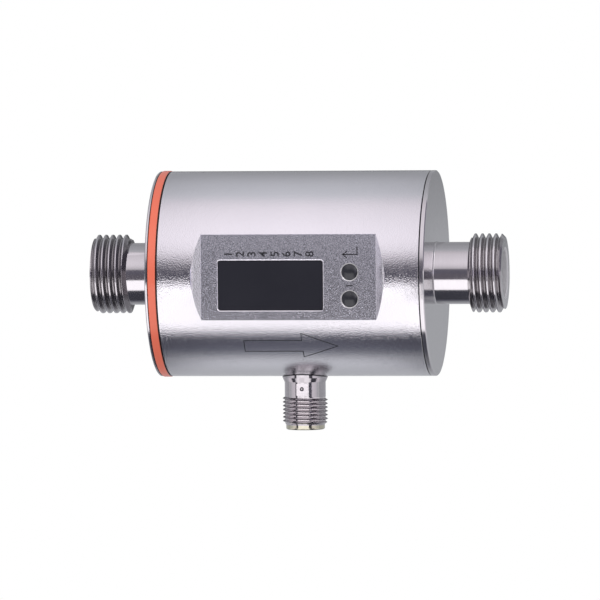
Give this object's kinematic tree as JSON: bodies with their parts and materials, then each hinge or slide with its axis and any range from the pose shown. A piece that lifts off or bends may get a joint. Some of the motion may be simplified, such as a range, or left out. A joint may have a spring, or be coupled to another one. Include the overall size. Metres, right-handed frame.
{
  "type": "electromagnetic flow meter",
  "caption": "Inline electromagnetic flow meter: round steel housing with a display flat and push buttons, threaded nipples on both ends, a coloured ring and a round cable connector.",
  "frame": {"origin": "on the axis of the flow bore, midway between the two sealing faces", "axes": "+X in the direction of flow, display faces -Y, cable connector points to -Z"},
  "size_m": [0.11, 0.0548, 0.0689],
  "materials": {
    "satin_steel": "fine blasted stainless steel",
    "turned_steel": "turned and polished stainless steel",
    "marker": "satin orange-red plastic",
    "black_rubber": "matt black rubber",
    "window": "dark tinted clear plastic",
    "button": "dark slate plastic",
    "frame_plastic": "glass-filled black plastic",
    "liner": "natural high-temperature plastic",
    "seal_rubber": "fluorocarbon rubber",
    "electrode_steel": "ground stainless steel",
    "soft_iron": "soft iron, oiled",
    "copper": "enamelled copper wire",
    "bobbin_plastic": "natural nylon",
    "board": "green solder mask",
    "components": "moulded electronic parts",
    "digits": "grey display block",
    "lamp": "clear lamp bodies",
    "clear_guide": "clear light guide",
    "flex": "amber film lead",
    "nickel": "nickel plated connector",
    "insulator": "black insulator",
    "gold": "gold plated contacts",
    "fastener": "bright screws and nuts"
  },
  "bodies": {
    "meter": {"housing_tube": "satin_steel", "inlet_fitting": "turned_steel", "outlet_fitting": "turned_steel", "spigot_seals": "seal_rubber", "marker_ring": "marker", "outlet_gap_gasket": "black_rubber", "display_window": "window", "window_gasket": "black_rubber", "display_carrier": "frame_plastic", "carrier_screws": "fastener", "display_board": "board", "digit_display": "digits", "status_lamps": "lamp", "light_guide": "clear_guide", "button_seals": "black_rubber", "upper_switch": "components", "lower_switch": "components", "measuring_tube": "liner", "tube_seals": "seal_rubber", "electrodes": "electrode_steel", "electrode_seals": "seal_rubber", "electrode_nuts": "fastener", "temperature_probe": "electrode_steel", "upper_pole": "soft_iron", "lower_pole": "soft_iron", "upper_bobbin": "bobbin_plastic", "lower_bobbin": "bobbin_plastic", "upper_coil": "copper", "lower_coil": "copper", "upper_yoke": "soft_iron", "lower_yoke": "soft_iron", "yoke_screws": "fastener", "inlet_frame": "frame_plastic", "outlet_frame": "frame_plastic", "main_board": "board", "board_parts": "components", "board_link": "flex", "link_sockets": "components", "connector_shell": "nickel", "connector_insert": "insulator", "connector_pins": "gold", "connector_saddle": "fastener", "connector_seal": "black_rubber", "connector_nut": "fastener", "connector_board": "board"},
    "enter_button": {"upper_button": "button", "upper_plunger": "bobbin_plastic"},
    "set_button": {"lower_button": "button", "lower_plunger": "bobbin_plastic"}
  },
  "joints": [
    {"name": "enter_press", "type": "slide", "parent": "meter", "child": "enter_button", "axis": [0, 1, 0], "range_m": [0, 0.0005], "stiffness_N_per_m": 4000},
    {"name": "set_press", "type": "slide", "parent": "meter", "child": "set_button", "axis": [0, 1, 0], "range_m": [0, 0.0005], "stiffness_N_per_m": 4000}
  ]
}
